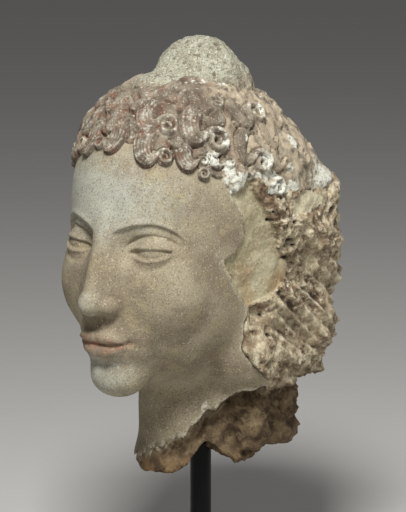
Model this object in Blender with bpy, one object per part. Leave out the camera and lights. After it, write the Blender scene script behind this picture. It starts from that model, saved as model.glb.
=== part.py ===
# Head of a bodhisattva in fired clay, broken from its figure at the neck,
# standing on a steel rod that rises from a square foot.
# The head faces -Y, its own left is +X, and the origin is at the middle of the foot's underside.
import math

import bmesh
import bpy
import numpy as np
from mathutils import noise

# Driving sizes, in metres
HEAD_HEIGHT = 0.328       # lowest point of the broken neck to the top of the topknot
HEAD_LIFT = 0.088         # foot's top to the lowest point of the neck
ROD_DIAMETER = 0.016
ROD_REACH = 0.095         # how far the rod goes up into the neck, above its lowest point
ROD_CHAMFER = 0.0015
ROD_SEAT = 0.014          # how deep the rod stands in the foot
FOOT_WIDTH = 0.180
FOOT_DEPTH = 0.180
FOOT_THICKNESS = 0.022
FOOT_BEVEL = 0.002
CLEARANCE = 0.0003        # gap between pieces that fit together

# The head's carving keeps its shares of the head's height: it is set out on a canon of
# 328 parts. Its own origin is the middle of the skull, on the line of the eyes.
CANON_PARTS = 328
PART = HEAD_HEIGHT / CANON_PARTS
NECK_BOTTOM = -188.0      # in parts, the lowest point of the head
NECK_AXIS_Y = 30.0        # in parts, where the rod's axis passes behind the skull's middle

# Fineness of the carving's mesh
GRID_CUTS = 120           # cells along each side of the cube that becomes the head
HEAD_FACETS = 8800
ROUND_SIDES = 48

# The surface is found along rays from an armature line inside the clay. It stands still in
# the skull, then runs down the middle of the neck as the rays turn below SLOPE degrees.
ARMATURE_TOP = np.array((0.0, 4.0, -8.0))
ARMATURE_FOOT = np.array((0.0, 32.0, -160.0))
SLOPE = 32.0
RAY_NEAREST = 3.0
RAY_FARTHEST = 270.0
RAY_HALVINGS = 15

# The masses that the head is built up from, in parts: centre, half sizes, and how softly
# each runs into what is there already. A mass marked "pair" is set on both sides.
CRANIUM = ((0, 12, 22), (76, 94, 88))
FACE_MASSES = (
    ("face", "one", (0, -11, -30), (67, 77, 86), 14),
    ("chin", "one", (0, -67, -98), (21, 20, 17), 16),
    ("cheek", "pair", (36, -54, -36), (20, 20, 26), 14),
    ("muzzle", "one", (0, -66, -70), (26, 26, 21), 14),
)
BACK_OF_HEAD = ((5, 56, -40), (71, 65, 84), 34)
CROWN = ((8, 48, 32), (65, 59, 42))
NECK = ((0, 32, -150), (45, 52, 400))
NECK_TOP, NECK_FOOT = -40, -220
NECK_FLARE = 5                # how far the neck spreads again towards its foot
NECK_STEP = 8            # how much higher the break under the neck is at the back
NECK_ARCH = ((36, -8, 17), (0, 30, 12), 14)    # a gap broken into its foot: ends, heights, width
NAPE = ((5, 57, -118), (54, 41, 62), 17)
NECK_SKIN = 10            # how far the skin of the neck stands out from its broken core
NECK_SKIN_FRONT = 0       # and how far at the front
# Lower edge of the neck's skin, as degrees round from its front and height
SKIN_FOOT = ((0, -168), (18, -157), (35, -143), (44, -136), (60, -129), (78, -123), (100, -115))
TOPKNOT = (
    ((1, 27, 91), (36, 36, 45)),
    ((12, 39, 95), (22, 25, 22)),
    ((-6, -10, 98), (22, 22, 15)),
)
EYE_SOCKET = ((27, -99, -3), (22, 27, 14))
EYEBALL = ((31, -63, -6), (15.5, 15, 12.5))
NOSE_TIP = ((0, -98.5, -42), (8, 9, 7.5))
NOSE_WING = ((10, -86.5, -43.5), (6.8, 11, 7))
NOSTRIL = ((5.2, -95, -52.5), (2.6, 5.5, 3.6))
UPPER_LIP = ((6.5, -84.5, -66.5), (11.5, 10, 5.5))
LOWER_LIP = ((5, -83, -76.5), (10.5, 9.5, 5.5))

# The face's lines, in parts. Widths are measured round the face from its middle.
FACE_ROUND = 75
EYE_X, EYE_Z, EYE_HALF_WIDTH = 32, -5, 15.5
BROW_X, BROW_Z = 32, 16
MOUTH_Z, MOUTH_HALF_WIDTH = -71, 22

# Where the skin ends on the head's left side, as (height, distance back): there the ear and
# the hair behind it have broken away. The second line is the far edge of the smooth bed
# that the ear left, and the rough core lies beyond it.
SKIN_EDGE = ((-113, 24), (-96, 4), (-84, -3), (-69, -2), (-52, -3), (-35, -18), (-13, -29),
             (-8, -20), (1, -12), (12, -14), (31, -23), (46, -29))
EAR_BED_EDGE = ((-60, -60), (-50, 3), (-44, 20), (-34, 36), (-26, 37), (-11, 23), (17, 7), (36, -4))

# How far the rough core swells out beside the head's other masses, as height and amount
CORE_SWELL = ((-120, 1), (-111, 0), (-102, -5), (-93, -3.5), (-84, 0), (-75, 2), (-66, -1),
              (-57, -5), (-48, -4), (-38, 1), (-30, 4), (-12, 5), (0, 1))
SWELL_SLANT = 0.45        # how much lower each swell lies for its distance back

# Locks of the hair, each a rope that swings down and out and then winds into a snail:
# azimuth from the face in degrees and height of the snail, the snail's radius, how wide the
# rope swings and half its breadth, all in parts; then the side that it swings out to, 1 for
# the viewer's left, and how far it leans that way, in degrees. With a size of 0 there is no
# snail, or no swing.
LOCKS = (
    (-102, 35, 7.0, 8.0, 6.0, -1, 0), (-83, 37, 7.0, 8.0, 6.2, -1, 0), (-64, 45, 6.8, 8.0, 6.4, -1, 0),
    (-46, 54, 6.6, 8.0, 6.4, -1, 0), (-28, 62, 6.6, 7.8, 6.4, -1, 0), (-10, 67, 5.4, 7.6, 6.6, -1, 0),
    (27, 61, 6.8, 8.2, 7.0, 1, 0), (46, 57.5, 4.0, 8.6, 6.6, 1, -4), (46, 49.5, 5.0, 0, 0, 1, 0),
    (60, 55, 4.4, 5.6, 4.0, 1, 0), (93, 33.5, 8.4, 0, 0, 1, 0), (136, 28, 9.0, 0, 0, 1, 0),
    (-101, 57, 7.0, 8.0, 6.0, -1, 0), (-79, 60, 7.2, 8.0, 6.2, -1, 0), (-59, 66, 6.4, 7.6, 6.2, -1, 0),
    (-38, 72, 5.8, 7.2, 6.0, -1, 0), (-17, 76, 5.0, 6.4, 5.4, -1, -6), (4, 80, 5.0, 6.2, 5.2, -1, 6),
    (27, 79, 9.0, 8.0, 6.8, 1, -8), (54, 69, 10.2, 8.6, 7.0, 1, -14), (69, 80, 0, 7.4, 4.6, -1, 0),
    (82, 52.5, 9.6, 8.2, 4.8, 1, -14), (104, 47, 5.0, 6.0, 3.8, 1, 0), (104, 66, 0, 8.5, 3.8, 1, 12),
    (123, 46.5, 8.7, 0, 0, -1, 0), (125, 72, 6.5, 5.0, 4.2, 1, 0), (93, 82, 9.8, 6.6, 4.6, 1, 30),
    (-95, 80, 6.4, 7.0, 5.6, -1, 0), (-73, 83, 6.2, 7.0, 5.6, -1, 0), (-50, 86, 6.0, 7.0, 5.6, -1, 0),
    (-27, 88, 5.4, 6.6, 5.4, -1, 0), (-6, 91, 5.4, 6.4, 5.2, -1, 8), (18, 97, 5.2, 6.0, 5.0, 1, 8),
    (38, 96, 5.6, 6.0, 5.0, 1, 10), (61, 91, 6.2, 5.6, 4.6, 1, 20), (112, 86, 0, 8.0, 4.2, 1, 10),
)
SNAIL_TURNS = 1.15
SNAIL_ENTRY = math.radians(150)
HAIR_DEPTH = 3.6          # thickness of the hair under its locks
HAIR_CROWN = 2.4          # how much thicker it gets towards the crown
BACK_LOCK = (8, 8, 5)     # snail, swing and breadth of the worn locks round the sides and back
BACK_ROWS = (44, 62, 80)  # heights of their rows
BACK_FROM, BACK_TO = 140, 250
BACK_STEP = 20.8          # in parts, from one to the next
WORN = 0.55               # how high they stand beside the others


def length(v):
    return np.sqrt((v * v).sum(-1))


def ellipsoid(p, centre, radii):
    """Distance from points p to an ellipsoid's surface, less than nothing inside it."""
    q = p - np.array(centre, float)
    r = np.array(radii, float)
    near = length(q / r)
    return near * (near - 1) / np.maximum(length(q / (r * r)), 1e-9)


def rounded_box(p, centre, half, corner):
    q = np.abs(p - np.array(centre, float)) - (np.array(half, float) - corner)
    return length(np.maximum(q, 0)) + np.minimum(q.max(-1), 0) - corner


def ridge(p, start, end, start_radius, end_radius):
    """Distance to a straight ridge that swells from one end to the other."""
    a = np.array(start, float)
    along = np.array(end, float) - a
    t = np.clip(((p - a) @ along) / (along @ along), 0, 1)
    return length(p - a - t[:, None] * along) - (start_radius + (end_radius - start_radius) * t)


def add(clay, more, soft):
    """Clay with more clay pressed on, blended over the width soft."""
    h = np.clip(0.5 + 0.5 * (more - clay) / soft, 0, 1)
    return more + (clay - more) * h - soft * h * (1 - h)


def cut(clay, tool, soft):
    return -add(-clay, tool, soft)


def ramp(x, start, end):
    t = np.clip((x - start) / (end - start), 0, 1)
    return t * t * (3 - 2 * t)


def bump(x, width):
    return np.exp(-((x / width) ** 2))


def grain(p, size, octaves):
    """Uneven relief between about -1 and 1, whose largest lumps measure size."""
    return np.array([noise.fractal(v, 0.8, 2.0, octaves) for v in (p / size).tolist()])


def across(p):
    """The same points folded onto the head's left side."""
    return np.stack([np.abs(p[:, 0]), p[:, 1], p[:, 2]], 1)


def topknot(p):
    knot = ellipsoid(p, *TOPKNOT[0])
    for centre, radii in TOPKNOT[1:]:
        knot = add(knot, ellipsoid(p, centre, radii), 10)
    return knot


def neck(p):
    """The neck with its skin, which the break has left only above a slanting line."""
    centre, radii = NECK
    column = ellipsoid(p, centre, radii) - NECK_FLARE * ramp(-p[:, 2], 160, 186)
    middle = (NECK_TOP + NECK_FOOT) / 2
    column = np.maximum(column, np.abs(p[:, 2] - middle) - (NECK_TOP - NECK_FOOT) / 2)
    skinned = add(column, rounded_box(p, *NAPE), 8)
    core = skinned + NECK_SKIN_FRONT + (NECK_SKIN - NECK_SKIN_FRONT) * ramp(p[:, 0], -5, 22)
    return add(cut(skinned, p[:, 2] - skin_foot(p), 1.5), core, 3)


def skin_foot(p):
    """Height of the lower edge of the neck's skin, which climbs round the head's left side."""
    turned = np.degrees(np.arctan2(np.abs(p[:, 0]), NECK[0][1] - p[:, 1]))
    turned = np.clip(turned, 0, 100) * ramp(p[:, 0], -10, 8)
    wander = 1.6 * np.sin(turned * 0.21) + 1.1 * np.sin(turned * 0.47 + 1)
    return np.interp(turned, *zip(*SKIN_FOOT)) + wander


def nose(clay, p):
    folded = across(p)
    clay = add(clay, ridge(p, (0, -71, 14), (0, -83, -38), 8, 13), 12)
    clay = add(clay, ridge(p, (0, -75, 22), (0, -99, -37), 3.5, 6), 9)
    clay = add(clay, ellipsoid(p, *NOSE_TIP), 6)
    clay = add(clay, ellipsoid(folded, *NOSE_WING), 3.5)
    return cut(clay, ellipsoid(folded, *NOSTRIL), 1.5)


def broken_foot(p):
    """Height of the break under the neck. It steps up behind, and a gap climbs in from the left."""
    (x, y, near_height), (far_x, far_y, far_height), width = NECK_ARCH
    along = np.array((far_x - x, far_y - y), float)
    t = np.clip(((p[:, :2] - (x, y)) @ along) / (along @ along), 0, 1)
    aside = length(p[:, :2] - (x, y) - t[:, None] * along)
    gap = (near_height + (far_height - near_height) * t) * bump(aside, width)
    return NECK_BOTTOM + 1 + NECK_STEP * ramp(p[:, 0] + 0.75 * p[:, 1], 10, 30) + gap


def head_clay(p):
    """The head before its hair and lids are worked: distance from points p to its surface."""
    folded = across(p)
    clay = ellipsoid(p, *CRANIUM)
    for _, where, centre, radii, soft in FACE_MASSES:
        clay = add(clay, ellipsoid(folded if where == "pair" else p, centre, radii), soft)
    clay = add(clay, rounded_box(p, *BACK_OF_HEAD), 12)
    clay = add(clay, ellipsoid(p, *CROWN), 14)
    clay = add(clay, neck(p), 10)
    clay = add(clay, topknot(p), 8)
    clay = cut(clay, ellipsoid(folded, *EYE_SOCKET), 9)
    clay = add(clay, ellipsoid(folded, *EYEBALL), 4)
    clay = add(clay, ellipsoid(folded, *UPPER_LIP), 3)
    clay = add(clay, ellipsoid(folded, *LOWER_LIP), 3)
    clay = nose(clay, p)
    return cut(clay, p[:, 2] - broken_foot(p), 3)


def brow_relief(x, z):
    """A fine edge over the socket, highest above the middle of the eye."""
    arch = BROW_Z - np.where(x < BROW_X, 7, 12) * ((x - BROW_X) / 24) ** 2
    below = arch - z
    span = ramp(x, 6, 12) * (1 - ramp(x, 44, 60))
    return (0.8 * bump(below, 3) - 2.2 * ramp(below, -0.5, 2.2) * bump(np.maximum(below, 0), 11)) * span


def eye_relief(x, z):
    """The eyeball sunk between two lids, and the crease above the upper one."""
    u = x - EYE_X
    v = z - EYE_Z - 0.06 * u
    wide = np.clip(1 - (u / EYE_HALF_WIDTH) ** 2, 0, 1)
    upper = 3.6 * wide ** 0.7
    lower = -4.4 * wide ** 0.9
    opening = np.where(wide > 0, np.minimum(upper - v, v - lower), -3)
    sunk = 1.9 * ramp(opening, -0.5, 0.9)
    rims = (0.8 * bump(v - upper - 1.2, 1.2) + 0.5 * bump(v - lower + 1.2, 1.3)) * ramp(wide, 0, 0.25)
    crease = 11.5 * np.clip(1 - ((u - 1) / 21) ** 2, 0, 1) ** 0.75
    fold = 1.5 * bump(v - crease, 1.3) * ramp(20 - np.abs(u - 1), 0, 4)
    under = 0.7 * bump(v + 12 * np.clip(1 - (u / 19) ** 2, 0, 1), 2.2) * ramp(17 - np.abs(u), 0, 6)
    return rims - sunk - fold - under


def mouth_relief(x, z):
    t = x / MOUTH_HALF_WIDTH
    within = 1 - ramp(t, 0.9, 1.02)
    parting = MOUTH_Z + 0.6 * t * t - 0.8 * bump(x, 4)
    top = parting + 8 * np.clip(1 - t ** 1.8, 0, 1) - 1.3 * bump(x, 3)
    bottom = parting - 9 * np.clip(1 - t ** 2.2, 0, 1)
    lip = (1 - ramp(z - top, -0.8, 1)) * ramp(z - bottom, -1, 0.8)
    line = 0.5 * bump(z - top, 1.1) + 0.3 * bump(z - bottom, 1.2)
    parted = 2.2 * bump(z - parting, 1.5) * (1 - ramp(t, 0.95, 1.1))
    corner = 1.3 * bump(np.hypot(x - MOUTH_HALF_WIDTH - 0.5, z - parting), 3.8)
    groove = 1.1 * bump(x, 2.6) * ramp(z, -63, -60) * (1 - ramp(z, -53, -50))
    under_lip = 1.8 * bump(z + 87.5, 3.6) * bump(x, 14)
    return (0.9 * lip + line) * within - parted - corner - groove - under_lip


def wing_relief(x, z):
    """The crease round the wing of the nose."""
    _, _, middle = NOSE_WING[0]
    ring = np.hypot((x - 10) / 8, (z - middle) / 8.5) - 1
    return -0.9 * bump(ring, 0.12) * ramp(x, 9, 13) * ramp(z - middle, -6, -2)


def face_relief(p):
    x = FACE_ROUND * np.arctan2(np.abs(p[:, 0]), -p[:, 1])
    across_mouth, z = np.abs(p[:, 0]), p[:, 2]
    relief = brow_relief(x, z) + eye_relief(x, z)
    relief += mouth_relief(across_mouth, z) + wing_relief(across_mouth, z)
    return relief * ramp(-p[:, 1], 20, 45)


def hairline(azimuth):
    """Height of the hair's lower edge, in parts: high over the brow, level behind the temple."""
    return 30 + 40 * np.maximum(0, np.cos(np.radians(1.25 * np.minimum(np.abs(azimuth), 140))))


def bend(start, leave, arrive, end, count):
    """Points along a curve that leaves start and comes to end by way of two handles."""
    u = np.linspace(0, 1, count, endpoint=False)
    weights = np.stack([(1 - u) ** 3, 3 * (1 - u) ** 2 * u, 3 * (1 - u) * u ** 2, u ** 3], 1)
    return weights @ np.array((start, leave, arrive, end), float)


def lock_path(snail, swing, breadth):
    """Centre line of one lock, laid flat about its snail's middle with its swing to the left,
    and the rope's half width and height at each point."""
    entry = 0.8 * snail * np.array((math.cos(SNAIL_ENTRY), math.sin(SNAIL_ENTRY)))
    paths = []
    if swing:
        down = entry + swing * bend((0.5, 2.3), (-1.9, 2.7), (-1.7, -1.9), (0, 0), 24)
        t = np.linspace(0, 1, 24)
        into = max(0.3 * snail, 1.2)
        half_width = np.interp(t, (0, 0.35, 0.75, 1), (0.6 * breadth, breadth, 0.9 * breadth, into))
        height = np.interp(t, (0, 0.3, 0.8, 1), (0.1 * breadth, 0.65 * breadth, 0.7 * breadth, into * 1.2))
        paths.append((down, half_width, height))
    if snail:
        wind = np.linspace(0, 1, 40)
        angle = SNAIL_ENTRY - wind * SNAIL_TURNS * 2 * math.pi
        reach = snail * (0.8 - 0.3 * wind)
        ring = np.stack([reach * np.cos(angle), reach * np.sin(angle)], 1)
        half_width = snail * np.interp(wind, (0, 0.15, 1), (0.3, 0.3, 0.26))
        height = snail * np.interp(wind, (0, 0.3, 1), (0.42, 0.42, 0.3))
        paths.append((ring, half_width, height))
    return [np.concatenate(parts) for parts in zip(*paths)]


def lay_lock(p, relief, azimuth, height, snail, swing, breadth, hand, lean, wear):
    """Presses one lock into relief, the rise of the hair at points p."""
    centre, radii = np.array(CRANIUM, float)
    level = math.sqrt(1 - ((height - centre[2]) / radii[2]) ** 2)
    turned = math.radians(azimuth)
    turned = math.atan2(radii[1] * math.sin(turned), radii[0] * math.cos(turned))
    middle = centre + radii * (level * math.sin(turned), -level * math.cos(turned), 0)
    middle[2] = height
    near = np.nonzero(length(p - middle) < snail + swing * 2.9 + breadth)[0]
    out = (middle - centre) / radii ** 2
    out /= np.linalg.norm(out)
    side = np.cross((0, 0, 1), out)
    side /= np.linalg.norm(side)
    up = np.cross(out, side)
    turn = math.radians(lean)
    side, up = (side * math.cos(turn) + hand * up * math.sin(turn),
                up * math.cos(turn) - hand * side * math.sin(turn))
    flat = np.stack([hand * ((p[near] - middle) @ side), (p[near] - middle) @ up], 1)
    line, half_width, stands = lock_path(snail, swing, breadth)
    shares = length(flat[:, None, :] - line[None]) / half_width
    nearest = shares.argmin(1)
    share = shares[np.arange(len(near)), nearest]
    lock = stands[nearest] * np.clip(1 - share ** 2, 0, 1) ** 0.6
    if snail:
        round_middle = length(flat) / snail
        lock += snail * 0.1 * (1 - ramp(round_middle, 0.7, 1)) * (1 - bump(round_middle, 0.3))
    relief[near] = np.maximum(relief[near], lock * wear)


def all_locks():
    for lock in LOCKS:
        yield *lock, 1 - WORN * ramp(lock[0], 86, 116)
    for row, height in enumerate(BACK_ROWS):
        level = math.sqrt(1 - ((height - CRANIUM[0][2]) / CRANIUM[1][2]) ** 2)
        step = math.degrees(BACK_STEP / (level * CRANIUM[1][0]))
        for i in range(int((BACK_TO - BACK_FROM) / step)):
            azimuth = BACK_FROM + (i + 0.5 * (row % 2)) * step
            yield azimuth, height, *BACK_LOCK, 1 if i % 2 else -1, 0, WORN


def hair_relief(p, azimuth, uneven):
    relief = np.zeros(len(p))
    for lock in all_locks():
        lay_lock(p, relief, *lock)
    under_knot = ramp(topknot(p) + uneven, -1, 4)
    above = p[:, 2] - hairline(azimuth)
    crown = HAIR_CROWN * ramp(above, 8, 26)
    return HAIR_DEPTH * ramp(above, 1, 6) + (crown + relief) * under_knot


def broken_side(p, azimuth, uneven):
    """Where the skin is gone from the sides and back, from 0 to 1, and where it shows rough core."""
    height, back = p[:, 2], p[:, 1] + 0.8 * uneven
    edge = np.interp(height, *zip(*SKIN_EDGE))
    bed = np.interp(height, *zip(*EAR_BED_EDGE))
    below_hair = 1 - ramp(height - hairline(azimuth) - uneven, -3, 1)
    broken = ramp(back - edge, -0.8, 0.8) * below_hair
    return broken, broken * ramp(back - bed, -1.5, 2.5)


def rays(directions):
    """Where each ray starts on the armature and which way it goes."""
    flat = np.hypot(directions[:, 0], directions[:, 1])
    slope = np.degrees(np.arctan2(directions[:, 2], flat))
    turned = np.clip((-slope - SLOPE) / (90 - SLOPE), 0, 1)
    down = np.clip(turned / 0.75, 0, 1)[:, None]
    slope = np.where(turned > 0, -SLOPE - (90 - SLOPE) * np.clip(turned / 0.45 - 1.22, 0, 1), slope)
    slope = np.radians(slope)
    level = directions[:, :2] / np.maximum(flat, 1e-9)[:, None] * np.cos(slope)[:, None]
    starts = ARMATURE_TOP + (ARMATURE_FOOT - ARMATURE_TOP) * down
    return starts, np.concatenate([level, np.sin(slope)[:, None]], 1)


def head_points(directions):
    """The finished clay's surface along a ray for each direction, in parts."""
    starts, directions = rays(directions)
    near = np.full(len(directions), RAY_NEAREST)
    far = np.full(len(directions), RAY_FARTHEST)
    for _ in range(RAY_HALVINGS):
        middle = (near + far) / 2
        inside = head_clay(starts + directions * middle[:, None]) < 0
        near = np.where(inside, middle, near)
        far = np.where(inside, far, middle)
    p = starts + directions * near[:, None]
    step = np.eye(3)
    out = np.stack([head_clay(p + e) - head_clay(p - e) for e in step], 1)
    out /= np.maximum(length(out), 1e-9)[:, None]
    azimuth = np.degrees(np.arctan2(p[:, 0], CRANIUM[0][1] - p[:, 1]))
    uneven = 4 * grain(p, 22, 3)
    lumps = grain(p, 22, 1)
    broken, rough = broken_side(p, azimuth, uneven)
    rise = face_relief(p) + hair_relief(p, azimuth, uneven) * (1 - broken)
    swell = np.interp(p[:, 2] + SWELL_SLANT * (p[:, 1] - 92) + 1.5 * uneven, *zip(*CORE_SWELL))
    swell *= ramp(azimuth, 60, 95) * (1 - ramp(azimuth, 145, 175))
    underneath = ramp(-p[:, 2], 165, 182)
    below_skin = ramp(skin_foot(p) - p[:, 2], 0, 3) * ramp(-p[:, 2], 90, 110)
    rise += 2.5 * lumps * below_skin
    rise += -2.4 * broken + rough * (3 + 4 * lumps + swell) * (1 - 0.8 * underneath)
    rise += (1 - ramp(topknot(p) + uneven, -1, 3)) * 2 * lumps
    return p + out * rise[:, None]


def own_material(ob, name, colour, roughness, metallic):
    material = bpy.data.materials.new(name)
    material.use_nodes = True
    shader = next(n for n in material.node_tree.nodes if n.type == "BSDF_PRINCIPLED")
    shader.inputs["Base Color"].default_value = (*colour, 1)
    shader.inputs["Roughness"].default_value = roughness
    shader.inputs["Metallic"].default_value = metallic
    ob.data.materials.append(material)


def new_object(name, bm):
    mesh = bpy.data.meshes.new(name)
    bm.to_mesh(mesh)
    bm.free()
    ob = bpy.data.objects.new(name, mesh)
    bpy.context.scene.collection.objects.link(ob)
    return ob


def round_bar(name, diameter, bottom, top, chamfer):
    """An upright round bar on the Z axis with both ends chamfered."""
    bm = bmesh.new()
    bmesh.ops.create_cone(bm, cap_ends=True, segments=ROUND_SIDES, radius1=diameter / 2,
                          radius2=diameter / 2, depth=top - bottom)
    bmesh.ops.translate(bm, verts=bm.verts, vec=(0, 0, (top + bottom) / 2))
    if chamfer:
        rims = [e for e in bm.edges if abs(e.verts[0].co.z - e.verts[1].co.z) < chamfer / 2]
        bmesh.ops.bevel(bm, geom=rims, offset=chamfer, segments=1, affect="EDGES", profile=0.5,
                        material=-1)
    ob = new_object(name, bm)
    ob.data.shade_smooth()
    ob.data.set_sharp_from_angle(angle=math.radians(30))
    return ob


def bore(ob, cutter):
    """Cuts a hole and keeps the cutter as a hidden helper."""
    cutter.hide_render = True
    cutter.display_type = "WIRE"
    hole = ob.modifiers.new("Bore", "BOOLEAN")
    hole.operation = "DIFFERENCE"
    hole.solver = "EXACT"
    hole.object = cutter


def make_head():
    """The modelled clay, closed all over, with the socket that the rod stands in."""
    bm = bmesh.new()
    bmesh.ops.create_cube(bm, size=2)
    bmesh.ops.subdivide_edges(bm, edges=bm.edges[:], cuts=GRID_CUTS - 1, use_grid_fill=True)
    cube = np.array([v.co for v in bm.verts])
    even = np.tan(cube * math.pi / 4)
    places = head_points(even / length(even)[:, None])
    neck_foot = FOOT_THICKNESS + HEAD_LIFT
    to_frame = np.array((0, -NECK_AXIS_Y, -NECK_BOTTOM))
    for vert, place in zip(bm.verts, (places + to_frame) * PART):
        vert.co = place
    bmesh.ops.translate(bm, verts=bm.verts, vec=(0, 0, neck_foot))
    head = new_object("head", bm)
    facets = 2 * len(head.data.polygons)
    fewer = head.modifiers.new("Fewer facets", "DECIMATE")
    fewer.ratio = HEAD_FACETS / facets
    socket_top = neck_foot + ROD_REACH + CLEARANCE
    socket = round_bar("socket_cutter", ROD_DIAMETER + 2 * CLEARANCE, FOOT_THICKNESS, socket_top, 0)
    bore(head, socket)
    head.data.shade_smooth()
    own_material(head, "fired_clay", (0.42, 0.33, 0.23), 0.9, 0)


def make_rod():
    bottom = FOOT_THICKNESS - ROD_SEAT + CLEARANCE
    top = FOOT_THICKNESS + HEAD_LIFT + ROD_REACH
    rod = round_bar("rod", ROD_DIAMETER, bottom, top, ROD_CHAMFER)
    own_material(rod, "blackened_steel", (0.02, 0.02, 0.022), 0.45, 0.6)


def make_foot():
    """A square steel plate with eased edges and a blind hole for the rod."""
    bm = bmesh.new()
    bmesh.ops.create_cube(bm, size=1)
    bmesh.ops.scale(bm, verts=bm.verts, vec=(FOOT_WIDTH, FOOT_DEPTH, FOOT_THICKNESS))
    bmesh.ops.translate(bm, verts=bm.verts, vec=(0, 0, FOOT_THICKNESS / 2))
    bmesh.ops.bevel(bm, geom=bm.edges[:], offset=FOOT_BEVEL, segments=3, affect="EDGES",
                    profile=0.5, material=-1)
    foot = new_object("foot", bm)
    seat = round_bar("seat_cutter", ROD_DIAMETER + 2 * CLEARANCE, FOOT_THICKNESS - ROD_SEAT,
                     FOOT_THICKNESS + ROD_SEAT, 0)
    bore(foot, seat)
    own_material(foot, "blackened_steel_plate", (0.02, 0.02, 0.022), 0.5, 0.6)


def main():
    for ob in list(bpy.data.objects):
        bpy.data.objects.remove(ob)
    make_head()
    make_rod()
    make_foot()


main()
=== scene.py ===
# A life-size clay head broken from its figure, carried by a blackened steel stand.
# The head faces -Y and its own left is +X.
import math

import bmesh
import bpy
import numpy as np
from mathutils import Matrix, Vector, noise


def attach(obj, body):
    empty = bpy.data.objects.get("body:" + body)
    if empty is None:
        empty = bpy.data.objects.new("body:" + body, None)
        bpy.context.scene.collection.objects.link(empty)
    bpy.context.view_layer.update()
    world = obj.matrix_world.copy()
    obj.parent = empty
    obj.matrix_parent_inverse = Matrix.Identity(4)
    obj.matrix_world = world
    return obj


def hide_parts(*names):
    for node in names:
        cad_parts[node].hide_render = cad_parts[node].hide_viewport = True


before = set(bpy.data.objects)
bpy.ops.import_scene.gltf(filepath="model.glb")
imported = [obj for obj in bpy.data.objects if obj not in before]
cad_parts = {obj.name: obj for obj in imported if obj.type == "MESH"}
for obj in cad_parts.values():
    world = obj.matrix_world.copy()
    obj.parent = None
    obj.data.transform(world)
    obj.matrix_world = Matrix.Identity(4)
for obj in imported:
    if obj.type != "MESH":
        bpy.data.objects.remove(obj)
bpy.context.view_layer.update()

# The foot
# A square plate of steel, sawn from bar, its edges eased, blackened and waxed by the mount
# maker. It lies on the table and the rod stands in a blind hole in its middle.


class Wire:
    """One value in a material's nodes. Python's own signs between wires add Math nodes."""

    def __init__(self, tree, socket=None):
        self.tree, self.socket = tree, socket

    def node(self, kind, settings=None, sockets=None, output=0):
        """Adds a node: its settings first, then a wire or a plain value for each socket."""
        made = self.tree.nodes.new(kind)
        for name, setting in (settings or {}).items():
            setattr(made, name, setting)
        for name, value in (sockets or {}).items():
            if isinstance(value, Wire):
                self.tree.links.new(value.socket, made.inputs[name])
            else:
                made.inputs[name].default_value = value
        return Wire(self.tree, made.outputs[output])

    def maths(self, operation, *values):
        return self.node("ShaderNodeMath", {"operation": operation}, dict(enumerate(values)))

    def __add__(self, other):
        return self.maths("ADD", self, other)

    def __sub__(self, other):
        return self.maths("SUBTRACT", self, other)

    def __rsub__(self, other):
        return self.maths("SUBTRACT", other, self)

    def __mul__(self, other):
        return self.maths("MULTIPLY", self, other)

    __radd__, __rmul__ = __add__, __mul__

    def ramp(self, start, end):
        """0 up to start and 1 from end on, easing between them."""
        return self.node("ShaderNodeMapRange", {"interpolation_type": "SMOOTHSTEP"},
                         {"Value": self, "From Min": start, "From Max": end})

    def blend(self, where_not, where):
        """One colour where this is 0, and another where it is 1."""
        return self.node("ShaderNodeMix", {"data_type": "RGBA"}, {0: self, 6: where_not, 7: where}, 2)

    def cloud(self, size, detail=4, roughness=0.6):
        """An uneven pattern around 0.5 over these coordinates, whose patches measure size."""
        return self.node("ShaderNodeTexNoise", {},
                         {"Vector": self, "Scale": 1 / size, "Detail": detail, "Roughness": roughness})

    def marked(self, name):
        """What the mesh keeps for each of its points under this name."""
        return self.node("ShaderNodeAttribute", {"attribute_name": name}, output=2)


def tone(red, green, blue):
    """A colour mixed as 0 to 255 of each, in the shader's own scale."""
    return (*(((v / 255 + 0.055) / 1.055) ** 2.4 for v in (red, green, blue)), 1)


def new_material(name):
    """A material, and the wire of Object coordinates that its patterns start from."""
    material = bpy.data.materials.new(name)
    material.use_nodes = True
    return material, Wire(material.node_tree).node("ShaderNodeTexCoord", output="Object")


def finish_with(material, colour, roughness, height, depth, gloss=0.5):
    """Joins the finish to its shader. height runs from 0 to 1 over a relief of this depth."""
    tree = material.node_tree
    shader = tree.nodes["Principled BSDF"]
    bumpy = height.node("ShaderNodeBump", {}, {"Height": height, "Distance": depth, "Strength": 1})
    for name, wire in (("Base Color", colour), ("Roughness", roughness), ("Normal", bumpy)):
        tree.links.new(wire.socket, shader.inputs[name])
    shader.inputs["Specular IOR Level"].default_value = gloss


def blackened_steel(name, grain_size):
    """Blue-black oxide under wax: cloudy, a little polished by hands, with a rolled grain."""
    material, place = new_material(name)
    patches = place.cloud(0.03)
    specks = place.cloud(0.0012, 3).ramp(0.6, 0.75)
    colour = patches.ramp(0.35, 0.7).blend(tone(7, 8, 9), tone(18, 18, 18))
    colour = (specks * 0.5).blend(colour, tone(40, 38, 35))
    roughness = 0.34 + 0.22 * patches + 0.12 * specks
    finish_with(material, colour, roughness, place.cloud(grain_size, 6, 0.7), depth=0.00012, gloss=0.15)
    return material


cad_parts["foot"].material_slots[0].material = blackened_steel("blackened_plate", 0.004)

# The rod
# A round bar of the same blackened steel. It stands in the foot and goes up into a hole that
# was drilled in the clay from below, and it carries the whole weight of the head.

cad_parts["rod"].material_slots[0].material = blackened_steel("blackened_bar", 0.002)

# The core of the head
# Coarse clay mixed with chopped fibre, built up by hand over an armature that is gone. It
# shows where the finer skin has broken away: on the side, the back and under the neck.

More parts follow.
